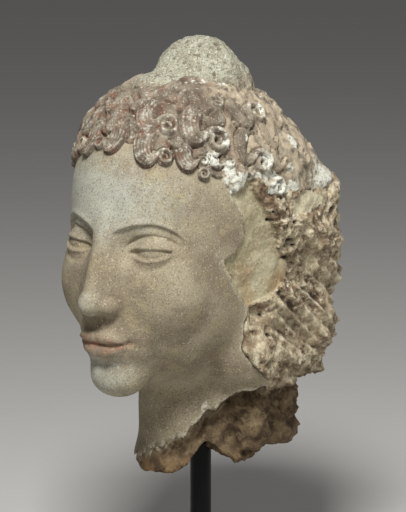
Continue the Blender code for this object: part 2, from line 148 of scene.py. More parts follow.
PART = 0.001                  # the head is laid out in parts, a millimetre each
NECK_FOOT = 0.110             # height of the neck's lowest point above the table
NECK_BOTTOM, NECK_AXIS_Y = -188.0, 30.0     # that point, and the rod, in the head's own parts
BALL_CELLS = 128              # cells along each side of the cube that becomes a body of clay
HEAD_ROUND = 80               # the radius that turns degrees round the head into parts

# The clay's surface is found along rays that start on the armature. Over the turn from SLOPE,
# in degrees, to straight down, a ray's start moves to the armature's foot in the first
# FOOT_SHARE. The ray keeps its slope for FALL_DELAY times FALL_SHARE of that turn, and then
# tips straight down over one more FALL_SHARE.
ARMATURE_TOP = np.array((0.0, 4.0, -8.0))
ARMATURE_FOOT = np.array((0.0, 32.0, -160.0))
SLOPE = 32.0
FOOT_SHARE, FALL_SHARE, FALL_DELAY = 0.75, 0.45, 1.22
RAY_NEAREST, RAY_FARTHEST, RAY_HALVINGS = 3.0, 270.0, 17

# Masses in parts: centre and half sizes, and the corner's radius where the mass is boxy. Those
# of the face say first if there is a pair, and last how softly each runs into the others.
CRANIUM = ((0, 12, 22), (76, 94, 88))
FACE_MASSES = (
    ("one", (0, -11, -30), (67, 77, 86), 14),        # the face
    ("one", (0, -67, -98), (21, 20, 17), 16),        # the chin
    ("pair", (36, -54, -36), (20, 20, 26), 14),      # the cheeks
    ("one", (0, -66, -70), (26, 26, 21), 14),        # round the mouth
)
BACK_OF_HEAD = ((5, 56, -40), (71, 65, 84), 34)
CROWN = ((8, 48, 32), (65, 59, 42))
NECK = ((0, 32, -150), (45, 52, 400))
NECK_TOP, NECK_END = -40, -220
NECK_FLARE = 5                # how far the neck spreads again towards its foot
FLARE_FADE = (-160, -186)     # heights over which it does
NECK_STEP = 8                 # how much higher the break under the neck is at the back
# The gap that climbs into the neck's foot: place and height of each end, and its half width
NECK_ARCH = ((36, -8, 17), (0, 30, 12), 14)
NAPE = ((5, 57, -118), (54, 41, 62), 17)
NECK_SKIN, NECK_SKIN_FRONT = 10, 0      # how far the skin of the neck stands out from its core
# Lower edge of the neck's skin, as degrees round from its front and height
SKIN_FOOT = ((0, -168), (18, -157), (35, -143), (44, -136), (60, -128), (78, -119), (100, -113))
SKIN_FOOT_RIGHT = 13          # how much lower that edge is on the head's right side
SKIN_FOOT_WAVES = ((1.6, 0.21, 0), (1.1, 0.47, 1))     # how it wanders: depth, rate and shift
TOPKNOT = (
    ((1, 27, 91), (36, 36, 45)),
    ((12, 39, 95), (22, 25, 22)),
    ((-6, -10, 98), (22, 22, 15)),
)
EYE_SOCKET = ((27, -99, -3), (22, 27, 14))
EYEBALL = ((31, -63, -6), (15.5, 15, 12.5))
NOSE_BASE = ((0, -71, 14), (0, -83, -38), 8, 13)      # a ridge: its two ends and their radii
NOSE_BRIDGE = ((0, -75, 22), (0, -99, -37), 3.5, 6)
NOSE_TIP = ((0, -98.5, -42), (8, 9, 7.5))
NOSE_WING = ((10, -86.5, -43.5), (6.8, 11, 7))
NOSTRIL = ((5.2, -95, -52.5), (2.6, 5.5, 3.6))
UPPER_LIP = ((6.5, -84.5, -66.5), (11.5, 10, 5.5))
LOWER_LIP = ((5, -83, -76.5), (10.5, 9.5, 5.5))

# Where the skin ends beside the lost ear, as height and distance back, and the far edge of
# the smooth bed that the ear left in the core
SKIN_EDGE = ((-113, 24), (-96, 4), (-84, -3), (-69, -2), (-52, -3), (-35, -18), (-13, -29),
             (-8, -20), (1, -12), (12, -14), (31, -23), (46, -29))
EAR_BED_EDGE = ((-60, -60), (-50, 3), (-44, 20), (-34, 36), (-26, 37), (-11, 23), (17, 7), (36, -4))

# Lower edge of the hair: its height at the sides and how far it rises over the forehead, then
# its torn stretch as azimuth and height, and over which degrees that starts and ends
HAIR_EDGE, HAIR_EDGE_RISE = 30, 40
TORN_EDGE = ((50, 47), (56, 46), (61, 36), (68, 36), (72, 46), (77, 44), (84, 33), (93, 27),
             (112, 27), (133, 23), (150, 30))
TORN_FROM, TORN_TO = (50, 56), (140, 150)

# How far the rough core swells out beside the head's other masses, as height and amount
CORE_SWELL = ((-120, 1), (-111, -1), (-102, -5.5), (-93, -3.5), (-84, 0), (-75, 2), (-66, -1),
              (-57, -5), (-48, -4), (-38, 1), (-30, 4), (-12, 5), (0, 1))
SWELL_SLANT, SWELL_BACK = 0.45, 92      # each swell lies lower behind this distance back
SMOOTH_PATCH = (117, 18, 16, 9)     # a smooth place high on the core: azimuth, height, half sizes

CORE_FOCUS, CORE_PULL = (0.86, 0.25, -0.30), 0.42
FIBRE_WAY = (0.05, 0.80, -0.60)     # the way that the fibres of the core run
PITS = (                            # azimuth in degrees; height, width, drop and depth in parts
    (80, 38, 7, 3, 2), (87, 31, 9, 4, 3), (94, 26, 5, 2.4, 3), (84, 33, 1.6, 1.4, 3.5),
    (92, 27, 2.4, 1.2, 3.5), (88, 18, 1.7, 1.5, 3.5), (89, 11, 1.8, 1.5, 3.5), (106, 6.5, 2, 1.5, 4),
    (105, -6.5, 3.4, 1.2, 4), (108, -11, 2.4, 0.9, 3.5), (106, -20, 7, 1.8, 3), (88, -60, 2, 1.6, 4),
    (92, -76, 3.4, 1.2, 4), (136, 8, 2.6, 1.8, 3), (120, -30, 4, 2, 3), (97, 4, 1.4, 1.1, 3),
    (112, -1, 1.4, 1.0, 3), (99, 17, 1.3, 1.0, 3),
)
SHADED_RECESS = (86, 33, 15, 9)            # painted shade of the core under the hair's edge: azimuth, height, half sizes
LUMP_SIZE, CRUMB_SIZE, FIBRE_SIZE = 22, 9, 7
FOLD_ACROSS, FOLD_WIDTH = (0, 0.6, 0.8), 9      # the way across the long folds, and their width
FOLD_HEIGHT, FOLD_SPREAD = -62, 48              # the height that they lie about, and how far
JAW_FADE = (-90, -110)              # heights over which the head gives way to the neck
UNDERSIDE_FADE = (-165, -182)       # heights over which the neck gives way to its broken foot
LEDGE_WIDTH, LEDGE_RISE = 10, 7     # the face where the neck's skin broke off
OVERHANG_HEIGHT, OVERHANG_DEPTH = -121, 7       # the hollow under the nape


def length(v):
    return np.sqrt((v * v).sum(-1))


def ellipsoid(p, centre, radii):
    """Distance from points p to an ellipsoid's surface, less than nothing inside it."""
    q = p - np.array(centre, float)
    r = np.array(radii, float)
    near = length(q / r)
    return near * (near - 1) / np.maximum(length(q / (r * r)), 1e-9)


def rounded_box(p, centre, half, corner):
    """Distance to a box whose corners have this radius."""
    q = np.abs(p - np.array(centre, float)) - (np.array(half, float) - corner)
    return length(np.maximum(q, 0)) + np.minimum(q.max(-1), 0) - corner


def ridge(p, start, end, start_radius, end_radius):
    """Distance to a straight ridge that swells from one end to the other."""
    a = np.array(start, float)
    along = np.array(end, float) - a
    t = np.clip(((p - a) @ along) / (along @ along), 0, 1)
    return length(p - a - t[:, None] * along) - (start_radius + (end_radius - start_radius) * t)


def add(clay, more, soft):
    """Clay with more clay pressed on, blended over the width soft, all as distances."""
    h = np.clip(0.5 + 0.5 * (more - clay) / soft, 0, 1)
    return more + (clay - more) * h - soft * h * (1 - h)


def cut(clay, tool, soft):
    """Clay with a tool's shape taken out of it."""
    return -add(-clay, tool, soft)


def ramp(x, start, end):
    """0 up to start and 1 from end on, easing between them."""
    t = np.clip((x - start) / (end - start), 0, 1)
    return t * t * (3 - 2 * t)


def bump(x, width):
    """1 where x is nothing, falling away over this width on both sides."""
    return np.exp(-((x / width) ** 2))


def grain(p, size, octaves):
    """Uneven relief between about -1 and 1, whose largest lumps measure size."""
    return np.array([noise.fractal(v, 0.8, 2.0, octaves) for v in (p / size).tolist()])


def crags(p, size, octaves):
    """Sharp crests and rounded hollows between about -1 and 1."""
    rises = [noise.ridged_multi_fractal(v, 0.9, 2.1, octaves, 1.0, 2.0) for v in (p / size).tolist()]
    return np.array(rises) - 1.1


def unevenness(p):
    """The slow waver that keeps edges and relief from running true, in parts."""
    return 4 * grain(p, LUMP_SIZE, 3)


def across(p):
    """The same points folded onto the head's left side."""
    return np.stack([np.abs(p[:, 0]), p[:, 1], p[:, 2]], 1)


def topknot(p):
    """Distance to the topknot, three lumps run together."""
    knot = ellipsoid(p, *TOPKNOT[0])
    for centre, radii in TOPKNOT[1:]:
        knot = add(knot, ellipsoid(p, centre, radii), 10)
    return knot


def skin_foot(p):
    """Height of the lower edge of the neck's skin, which climbs round the head's left side."""
    turned = np.degrees(np.arctan2(np.abs(p[:, 0]), NECK[0][1] - p[:, 1]))
    turned = np.clip(turned, 0, 100) * ramp(p[:, 0], -10, 8)
    wander = sum(depth * np.sin(turned * rate + shift) for depth, rate, shift in SKIN_FOOT_WAVES)
    return np.interp(turned, *zip(*SKIN_FOOT)) + wander - SKIN_FOOT_RIGHT * ramp(-p[:, 0], 0, 28)


def neck(p):
    """The neck with its skin, which the break has left only above a slanting line."""
    centre, radii = NECK
    column = ellipsoid(p, centre, radii) - NECK_FLARE * ramp(p[:, 2], *FLARE_FADE)
    middle = (NECK_TOP + NECK_END) / 2
    column = np.maximum(column, np.abs(p[:, 2] - middle) - (NECK_TOP - NECK_END) / 2)
    skinned = add(column, rounded_box(p, *NAPE), 8)
    core = skinned + NECK_SKIN_FRONT + (NECK_SKIN - NECK_SKIN_FRONT) * ramp(p[:, 0], -5, 22)
    return add(cut(skinned, p[:, 2] - skin_foot(p), 1.0), core, 2)


def nose(clay, p):
    """Clay with the nose put on and its nostrils opened."""
    halved = across(p)
    clay = add(clay, ridge(p, *NOSE_BASE), 12)
    clay = add(clay, ridge(p, *NOSE_BRIDGE), 9)
    clay = add(clay, ellipsoid(p, *NOSE_TIP), 6)
    clay = add(clay, ellipsoid(halved, *NOSE_WING), 3.5)
    return cut(clay, ellipsoid(halved, *NOSTRIL), 1.5)


def broken_foot(p):
    """Height of the break under the neck. It steps up behind, and a gap climbs in from the left."""
    (x, y, near_height), (far_x, far_y, far_height), width = NECK_ARCH
    along = np.array((far_x - x, far_y - y), float)
    t = np.clip(((p[:, :2] - (x, y)) @ along) / (along @ along), 0, 1)
    aside = length(p[:, :2] - (x, y) - t[:, None] * along)
    gap = (near_height + (far_height - near_height) * t) * bump(aside, width)
    return NECK_BOTTOM + 1 + NECK_STEP * ramp(p[:, 0] + 0.75 * p[:, 1], 10, 30) + gap


def head_clay(p):
    """The head before its hair and lids are worked: distance from points p to its surface."""
    halved = across(p)
    clay = ellipsoid(p, *CRANIUM)
    for where, centre, radii, soft in FACE_MASSES:
        clay = add(clay, ellipsoid(halved if where == "pair" else p, centre, radii), soft)
    clay = add(clay, rounded_box(p, *BACK_OF_HEAD), 12)
    clay = add(clay, ellipsoid(p, *CROWN), 14)
    clay = add(clay, neck(p), 10)
    clay = add(clay, topknot(p), 8)
    clay = cut(clay, ellipsoid(halved, *EYE_SOCKET), 9)
    clay = add(clay, ellipsoid(halved, *EYEBALL), 4)
    clay = add(clay, ellipsoid(halved, *UPPER_LIP), 3)
    clay = add(clay, ellipsoid(halved, *LOWER_LIP), 3)
    clay = nose(clay, p)
    return cut(clay, p[:, 2] - broken_foot(p), 3)


def rays(directions):
    """Where each ray starts on the armature and which way it goes."""
    flat = np.hypot(directions[:, 0], directions[:, 1])
    slope = np.degrees(np.arctan2(directions[:, 2], flat))
    turned = np.clip((-slope - SLOPE) / (90 - SLOPE), 0, 1)
    down = np.clip(turned / FOOT_SHARE, 0, 1)[:, None]
    falling = np.clip(turned / FALL_SHARE - FALL_DELAY, 0, 1)
    slope = np.radians(np.where(turned > 0, -SLOPE - (90 - SLOPE) * falling, slope))
    level = directions[:, :2] / np.maximum(flat, 1e-9)[:, None] * np.cos(slope)[:, None]
    starts = ARMATURE_TOP + (ARMATURE_FOOT - ARMATURE_TOP) * down
    return starts, np.concatenate([level, np.sin(slope)[:, None]], 1)


def ball(cells):
    """A cube cut into squares: its bmesh, and the way to each point once it is blown up round."""
    bm = bmesh.new()
    bmesh.ops.create_cube(bm, size=2)
    bmesh.ops.subdivide_edges(bm, edges=bm.edges[:], cuts=cells - 1, use_grid_fill=True)
    even = np.tan(np.array([v.co for v in bm.verts]) * math.pi / 4)
    return bm, even / length(even)[:, None]


def surface_along(starts, directions, clay, nearest, farthest):
    """The places where the rays leave the clay, found by halving."""
    near, far = np.full(len(directions), nearest), np.full(len(directions), farthest)
    for _ in range(RAY_HALVINGS):
        middle = (near + far) / 2
        inside = clay(starts + directions * middle[:, None]) < 0
        near, far = np.where(inside, middle, near), np.where(inside, far, middle)
    return starts + directions * near[:, None]


def clay_body(focus, pull):
    """A closed body of quads over the whole head, finest towards focus: its bmesh, and for each
    point its place in parts, the way that the surface faces and the way back to the armature."""
    bm, directions = ball(BALL_CELLS)
    directions = directions + pull * np.array(Vector(focus).normalized())
    starts, directions = rays(directions / length(directions)[:, None])
    p = surface_along(starts, directions, head_clay, RAY_NEAREST, RAY_FARTHEST)
    out = np.stack([head_clay(p + e) - head_clay(p - e) for e in 0.7 * np.eye(3)], 1)
    return bm, p, out / np.maximum(length(out), 1e-9)[:, None], starts - p


def azimuth_of(p):
    """Degrees round the head from the middle of the face towards its left."""
    return np.degrees(np.arctan2(p[:, 0], CRANIUM[0][1] - p[:, 1]))


def hair_edge(azimuth):
    """Height of the hair's lower edge, torn on the head's left side."""
    over_forehead = np.maximum(0, np.cos(np.radians(1.25 * np.minimum(np.abs(azimuth), 140))))
    whole = HAIR_EDGE + HAIR_EDGE_RISE * over_forehead
    torn = np.interp(azimuth, *zip(*TORN_EDGE))
    return whole + (torn - whole) * ramp(azimuth, *TORN_FROM) * (1 - ramp(azimuth, *TORN_TO))


def lost_skin(p, azimuth, uneven):
    """Where the skin is gone from the sides and back, from 0 to 1, where that shows rough core,
    and how far behind the skin's edge each point is."""
    height, back = p[:, 2], p[:, 1] + 0.8 * uneven
    edge = np.interp(height, *zip(*SKIN_EDGE))
    bed = np.interp(height, *zip(*EAR_BED_EDGE))
    below_hair = 1 - ramp(height - hair_edge(azimuth) - uneven, 0, 6)
    lost = ramp(back - edge, -0.5, 0.5) * below_hair
    ragged = 1.4 * grain(p, 5, 3)
    rough = lost * ramp(back + ragged - bed, -1, 1.5)
    patch_azimuth, patch_height, wide, high = SMOOTH_PATCH
    patch = np.hypot((azimuth - patch_azimuth) / wide, (height + 0.5 * uneven - patch_height) / high)
    return lost, rough * ramp(patch + 0.15 * ragged, 0.7, 1.2), back - edge


def pitted(azimuth, height, ragged):
    """Depth of the holes that roots and insects left in the core, their rims made ragged."""
    depth = np.zeros(len(height))
    for pit_azimuth, pit_height, width, drop, deep in PITS:
        aside = np.radians(azimuth - pit_azimuth) * HEAD_ROUND
        off = np.hypot(aside / width, (height - pit_height) / drop) + 0.35 * ragged
        depth = np.maximum(depth, deep * bump(off, 0.9))
    return depth


def clay_piece(name, bm, places, marks, material):
    """Lays the body's points in their places and gives it its finish. marks are kept for the
    material, one number for each point."""
    to_frame = np.array((0, -NECK_AXIS_Y, -NECK_BOTTOM))
    for vert, place in zip(bm.verts, (places + to_frame) * PART):
        vert.co = place
    bmesh.ops.translate(bm, verts=bm.verts, vec=(0, 0, NECK_FOOT))
    mesh = bpy.data.meshes.new(name)
    bm.to_mesh(mesh)
    bm.free()
    mesh.shade_smooth()
    for mark, values in marks.items():
        mesh.attributes.new(mark, "FLOAT", "POINT").data.foreach_set("value", values.astype(np.float32))
    mesh.materials.append(material)
    ob = bpy.data.objects.new(name, mesh)
    bpy.context.scene.collection.objects.link(ob)
    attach(ob, "root")
    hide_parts("head")


core_bm, p, out, _ = clay_body(CORE_FOCUS, CORE_PULL)
azimuth, height = azimuth_of(p), p[:, 2]
uneven = unevenness(p)
lost, rough, _ = lost_skin(p, azimuth, uneven)
bed = (1 - rough) * lost
drop = skin_foot(p) - height
below_skin = ramp(drop, 0, 3) * ramp(height, *JAW_FADE)
underneath = ramp(height, *UNDERSIDE_FADE)
# The smooth patch is raised and paler; its paleness is partly painted light.
patch = bed * ramp(azimuth, 98, 104) * ramp(height, 2, 8)

# Lumps, crumbs, fibres and long folds of the coarse clay
along = np.array(Vector(FIBRE_WAY).normalized())
drawn_out = p - 0.9 * (p @ along)[:, None] * along
lumps = grain(p, LUMP_SIZE, 2)
crumble = crags(p, CRUMB_SIZE, 5)
fibres = crags(drawn_out, FIBRE_SIZE, 4)
in_folds = bump(height - FOLD_HEIGHT, FOLD_SPREAD) * ramp(azimuth, 88, 102)
folds = 0.55 - np.abs(np.sin(math.pi * (p @ np.array(FOLD_ACROSS) + 4 * lumps) / FOLD_WIDTH))
pits = pitted(azimuth, height, grain(p, 3, 3)) * lost

# What broke: the edge of the neck's skin, and the hollow under the nape
broken_face = LEDGE_RISE * ramp(LEDGE_WIDTH - drop, 0, 4) * (1 - drop / (2 * LEDGE_WIDTH))
broken_face -= 2.5 * bump(drop - LEDGE_WIDTH - 2, 2.5)
broken_face *= ramp(azimuth, 40, 62) * below_skin
overhang = OVERHANG_DEPTH * bump(height - OVERHANG_HEIGHT, 6) * ramp(azimuth, 84, 96) * below_skin

# The relief that they make, and the painted shade under the hair's edge
relief = (2.8 - 1.4 * in_folds) * crumble + (0.4 + 1.6 * in_folds) * fibres + 3 * in_folds * folds
relief *= rough
relief += below_skin * ((0.25 + 0.9 * underneath + 0.12 * broken_face) * crumble + 0.5 * grain(p, 7, 3))
relief -= pits
relief += bed * (1.2 * grain(p, 16, 2) + 0.35 * grain(p, 4, 3)) + 0.5 * patch * crumble
recess_azimuth, recess_height, wide, high = SHADED_RECESS
recess_shade = np.hypot((azimuth - recess_azimuth) / wide, (height - recess_height) / high) + 0.25 * lumps
recess_shade = (1 - ramp(recess_shade, 0.7, 1.1)) * (1 - bed)

# How far all this stands out from the head's masses, and less under the topknot
swell = np.interp(height + SWELL_SLANT * (p[:, 1] - SWELL_BACK) + 1.5 * uneven, *zip(*CORE_SWELL))
swell *= ramp(azimuth, 60, 95) * (1 - ramp(azimuth, 145, 175))
rise = -2.4 + rough * (3 + 4 * lumps + swell) * (1 - 0.8 * underneath) + relief
rise += (0.4 + 3 * lumps) * below_skin + broken_face - overhang + 5 * patch
rise += 5 * underneath * ramp(p[:, 0] + p[:, 1], 35, 60)
rise -= 6 * (1 - ramp(topknot(p), 2, 5))

core_clay, place = new_material("core_clay")
bed_mark, hollow_shade = place.marked("bed"), place.marked("hollow_shade")
crest_flecks_and_highlight, neck_mark = place.marked("crest_flecks_and_highlight"), place.marked("neck")
grit = place.cloud(0.0016, 4, 0.7)
crumbs = place.cloud(0.005, 6, 0.75)
colour = place.cloud(0.017, 5, 0.6).ramp(0.4, 0.6).blend(tone(134, 115, 91), tone(186, 172, 142))
broken = 0.35 + 0.55 * place.cloud(0.03, 3).ramp(0.38, 0.6)       # how strongly the crumbs show
colour = (crumbs.ramp(0.5, 0.6) * broken).blend(colour, tone(222, 213, 186))
colour = ((1 - crumbs.ramp(0.38, 0.47)) * broken).blend(colour, tone(76, 57, 42))
# Round and under the neck the core takes darker tones: partly the clay there, partly painted shade under the
# jaw and nape.
neck_tone_and_shade = place.cloud(0.012, 5, 0.6).ramp(0.4, 0.62).blend(tone(86, 70, 52), tone(124, 106, 80))
neck_tone_and_shade = (crumbs.ramp(0.52, 0.62) * 0.6).blend(neck_tone_and_shade, tone(152, 134, 104))
neck_tone_and_shade = ((1 - crumbs.ramp(0.38, 0.46)) * 0.6).blend(neck_tone_and_shade, tone(50, 37, 26))
under_colour = place.cloud(0.008, 5, 0.7).ramp(0.4, 0.6).blend(tone(70, 54, 38), tone(138, 112, 78))
neck_tone_and_shade = (place.marked("under") * 0.8).blend(neck_tone_and_shade, under_colour)
neck_tone_and_shade = (place.marked("ledge") * 0.7).blend(neck_tone_and_shade, tone(124, 108, 86))
colour = neck_mark.blend(colour, neck_tone_and_shade)
# Painted highlight: pale flecks on the crests of the relief, where light catches.
colour = (crest_flecks_and_highlight * 0.8 * grit.ramp(0.38, 0.55)).blend(colour, tone(224, 214, 186))
bed_colour = place.cloud(0.02, 5).ramp(0.35, 0.65).blend(tone(156, 146, 117), tone(180, 172, 143))
bed_colour = (place.cloud(0.03, 3).ramp(0.45, 0.72) * 0.7).blend(bed_colour, tone(154, 126, 86))
# The smooth patch is paler: partly its own sandy colour, partly painted light against the shade under the
# hair.
bed_colour = (place.marked("patch") * 0.8).blend(bed_colour, tone(208, 199, 170))
bed_colour = (place.cloud(0.0018, 3).ramp(0.54, 0.66) * 0.5).blend(bed_colour, tone(212, 203, 172))
colour = bed_mark.blend(colour, bed_colour)
# Painted shade: the core under the hair's edge is darkened to deep browns.
recess_shade_colour = crumbs.ramp(0.4, 0.6).blend(tone(60, 40, 26), tone(122, 94, 68))
colour = (place.marked("recess_shade") * 0.85).blend(colour, recess_shade_colour)
colour = (grit.ramp(0.54, 0.66) * 0.6).blend(colour, tone(104, 84, 60))
# Painted shade: the pits and the deep troughs of the relief are darkened.
colour = hollow_shade.blend(colour, tone(48, 33, 22))
core_height = 0.6 * crumbs + 0.4 * grit
finish_with(core_clay, colour, 0.95 - 0.15 * bed_mark, core_height * (1 - 0.75 * bed_mark),
            depth=0.0022, gloss=0.3)

clay_piece("head_core", core_bm, p + out * rise[:, None], {
    "bed": ramp(bed, 0.6, 1), "neck": below_skin,
    # painted highlight on the crests of the relief
    "crest_flecks_and_highlight": ramp(relief, 0.6, 2.8) * (1 - bed) * (1 - below_skin),
    "under": underneath * below_skin, "ledge": ramp(broken_face, 1, 4), "recess_shade": recess_shade,
    "patch": patch,
    # painted shade in the pits and the deep troughs of the relief
    "hollow_shade": np.clip(0.9 * ramp(pits, 1, 3.4) + 0.75 * ramp(-relief, 1, 3.2), 0, 1)}, core_clay)

# The skin of the head
# A finer clay, a centimetre thick at the neck and thin beside the ears, pressed over the core
# and modelled wet into face and neck. Chalky ground and a little red are left on it.

SKIN_FOCUS, SKIN_PULL = (0.42, -0.86, -0.20), 0.45
SKIN_SINKS = 0.34             # share of its way to the armature that it sinks where it is gone
FACE_ROUND = 75               # the radius that turns degrees round the face into parts
# Places on one half of the face: distance from its middle, and height
EYE_X, EYE_Z, EYE_HALF_WIDTH = 32, -5, 15.5
UPPER_LID, LOWER_LID, LID_CREASE = 3.6, 4.4, 11.5      # above, below and above the eye's middle
BROW_X, BROW_Z, BROW_SPAN = 32, 16, 24
BROW_DROP_IN, BROW_DROP_OUT = 7, 12
MOUTH_Z, MOUTH_HALF_WIDTH = -71, 22
GROOVE_FOOT, GROOVE_TOP = (-63, -60), (-53, -50)       # of the groove between nose and lip
CHIN_HOLLOW_Z = -87.5
NECK_FLECK = ((30.5, -6.3, -132.6), (35, -5, -123))     # a splash of white ground on the neck
# Where chalky ground is left: azimuth, height and half sizes, or a place and its reach
CHALKY_FOREHEAD = (-12, 30, 42, 27)
CHALKY_NOSE = ((0, -104, -40), 11)
CHALKY_CHIN = ((-6, -84, -96), 22)


def brow_relief(x, z):
    """A fine edge over the socket, highest above the middle of the eye."""
    drop = np.where(x < BROW_X, BROW_DROP_IN, BROW_DROP_OUT)
    arch = BROW_Z - drop * ((x - BROW_X) / BROW_SPAN) ** 2
    below = arch - z
    span = ramp(x, 6, 12) * (1 - ramp(x, 44, 60))
    return (0.8 * bump(below, 3) - 2.2 * ramp(below, -0.5, 2.2) * bump(np.maximum(below, 0), 11)) * span


def eye_relief(x, z):
    """The eyeball sunk between two lids, and the crease above the upper one."""
    u = x - EYE_X
    v = z - EYE_Z - 0.06 * u
    wide = np.clip(1 - (u / EYE_HALF_WIDTH) ** 2, 0, 1)
    upper = UPPER_LID * wide ** 0.7
    lower = -LOWER_LID * wide ** 0.9
    opening = np.where(wide > 0, np.minimum(upper - v, v - lower), -3)
    sunk = 1.9 * ramp(opening, -0.5, 0.9)
    rims = (0.8 * bump(v - upper - 1.2, 1.2) + 0.5 * bump(v - lower + 1.2, 1.3)) * ramp(wide, 0, 0.25)
    crease = LID_CREASE * np.clip(1 - ((u - 1) / 21) ** 2, 0, 1) ** 0.75
    fold = 1.5 * bump(v - crease, 1.3) * ramp(20 - np.abs(u - 1), 0, 4)
    under = 0.7 * bump(v + 12 * np.clip(1 - (u / 19) ** 2, 0, 1), 2.2) * ramp(17 - np.abs(u), 0, 6)
    return rims - sunk - fold - under


def lips(x, z):
    """Where the lips are, from 0 to 1, and the heights of their parting, top and bottom."""
    t = x / MOUTH_HALF_WIDTH
    parting = MOUTH_Z + 0.6 * t * t - 0.8 * bump(x, 4)
    top = parting + 8 * np.clip(1 - t ** 1.8, 0, 1) - 1.3 * bump(x, 3)
    bottom = parting - 9 * np.clip(1 - t ** 2.2, 0, 1)
    lip = (1 - ramp(z - top, -0.8, 1)) * ramp(z - bottom, -1, 0.8) * (1 - ramp(t, 0.9, 1.02))
    return lip, parting, top, bottom


def mouth_relief(x, z):
    """The lips with their rims and parting, and the hollows round them."""
    t = x / MOUTH_HALF_WIDTH
    lip, parting, top, bottom = lips(x, z)
    line = (0.5 * bump(z - top, 1.1) + 0.3 * bump(z - bottom, 1.2)) * (1 - ramp(t, 0.9, 1.02))
    parted = 2.4 * bump(z - parting, 1) * (1 - ramp(t, 0.95, 1.1))
    corner = 1.8 * bump(np.hypot(x - MOUTH_HALF_WIDTH - 0.5, z - parting), 3)
    groove = 1.1 * bump(x, 2.6) * ramp(z, *GROOVE_FOOT) * (1 - ramp(z, *GROOVE_TOP))
    under_lip = 1.8 * bump(z - CHIN_HOLLOW_Z, 3.6) * bump(x, 14)
    return 0.9 * lip + line - parted - corner - groove - under_lip


def wing_relief(x, z):
    """The crease round the wing of the nose."""
    _, _, middle = NOSE_WING[0]
    ring = np.hypot((x - 10) / 8, (z - middle) / 8.5) - 1
    return -0.9 * bump(ring, 0.12) * ramp(x, 9, 13) * ramp(z - middle, -6, -2)


def face_relief(p):
    """How far the worked forms of the face stand out, alike on both halves."""
    x = FACE_ROUND * np.arctan2(np.abs(p[:, 0]), -p[:, 1])
    across_mouth, z = np.abs(p[:, 0]), p[:, 2]
    relief = brow_relief(x, z) + eye_relief(x, z)
    relief += mouth_relief(across_mouth, z) + wing_relief(across_mouth, z)
    return relief * ramp(-p[:, 1], 20, 45)


skin_bm, p, out, inward = clay_body(SKIN_FOCUS, SKIN_PULL)
azimuth, height = azimuth_of(p), p[:, 2]
lost, _, beyond = lost_skin(p, azimuth, unevenness(p))
on_neck = ramp(height, *JAW_FADE)
above_foot = height - skin_foot(p)
bare = np.maximum(lost, ramp(-above_foot, -0.5, 0.5) * on_neck)
rise = (face_relief(p) + 0.25 * grain(p, 16, 2)) * (1 - lost)
sunk = SKIN_SINKS * np.maximum(bare, 0.3 * ramp(height - hair_edge(azimuth), 4, 10))
chalk_azimuth, chalk_height, wide, high = CHALKY_FOREHEAD
forehead = bump(np.hypot((azimuth - chalk_azimuth) / wide, (height - chalk_height) / high), 1)
nose_tip = bump(length(p - CHALKY_NOSE[0]), CHALKY_NOSE[1])
chin = bump(length((p - CHALKY_CHIN[0]) / (1.3, 1, 1)), CHALKY_CHIN[1])
fleck = 1 - ramp(ridge(p, *NECK_FLECK, 2, 0.2), -0.4, 0.6)
neck_line = bump(above_foot - 1.5, 2.6) * on_neck
mouth, _, _, _ = lips(np.abs(p[:, 0]), height)
parting = bump(height - MOUTH_Z, 1.6) * ramp(MOUTH_HALF_WIDTH + 4 - np.abs(p[:, 0]), 0, 4)

skin_clay, place = new_material("skin_clay")
chalk, edge = place.marked("chalk"), place.marked("edge")
grit = place.cloud(0.0011, 4, 0.7)
colour = place.cloud(0.028, 5).ramp(0.35, 0.66).blend(tone(130, 118, 98), tone(156, 146, 122))
colour = (place.cloud(0.013, 5).ramp(0.5, 0.68) * 0.5).blend(colour, tone(164, 151, 115))
chalky = (chalk + 1.1 * place.cloud(0.006, 6, 0.7) - 0.62).ramp(0.0, 0.75)
colour = (chalky * 0.75).blend(colour, tone(176, 179, 166))
colour = (grit.ramp(0.52, 0.62) * 0.65).blend(colour, tone(90, 76, 60))
colour = (place.cloud(0.0014, 3).ramp(0.58, 0.7) * 0.55).blend(colour, tone(212, 200, 174))
colour = (place.marked("red") * place.cloud(0.004).ramp(0.35, 0.6)).blend(colour, tone(148, 98, 78))
colour = (edge * place.cloud(0.003, 4).ramp(0.42, 0.58)).blend(colour, tone(210, 202, 182))
finish_with(skin_clay, colour, 0.8 + 0.2 * grit, 0.5 * grit + 0.5 * place.cloud(0.004, 5),
            depth=0.0006, gloss=0.35)

clay_piece("head_skin", skin_bm, p + out * rise[:, None] + inward * sunk[:, None], {
    "chalk": np.clip(0.9 * forehead + 0.5 * nose_tip + 0.7 * chin, 0, 1),
    "edge": np.clip(bump(beyond, 1.6) * (1 - ramp(height, 40, 50)) + neck_line + fleck, 0, 1),
    "red": np.clip((0.35 * mouth + 0.7 * parting) * ramp(-p[:, 1], 60, 70), 0, 1)}, skin_clay)

# The hair
# Ropes of the fine clay laid in three rows over the skull, each swinging down and wound into
# a snail whose eye was drilled. They are worn down on the broken side and behind.

HAIR_FOCUS, HAIR_PULL = (0.38, -0.50, 0.78), 0.55
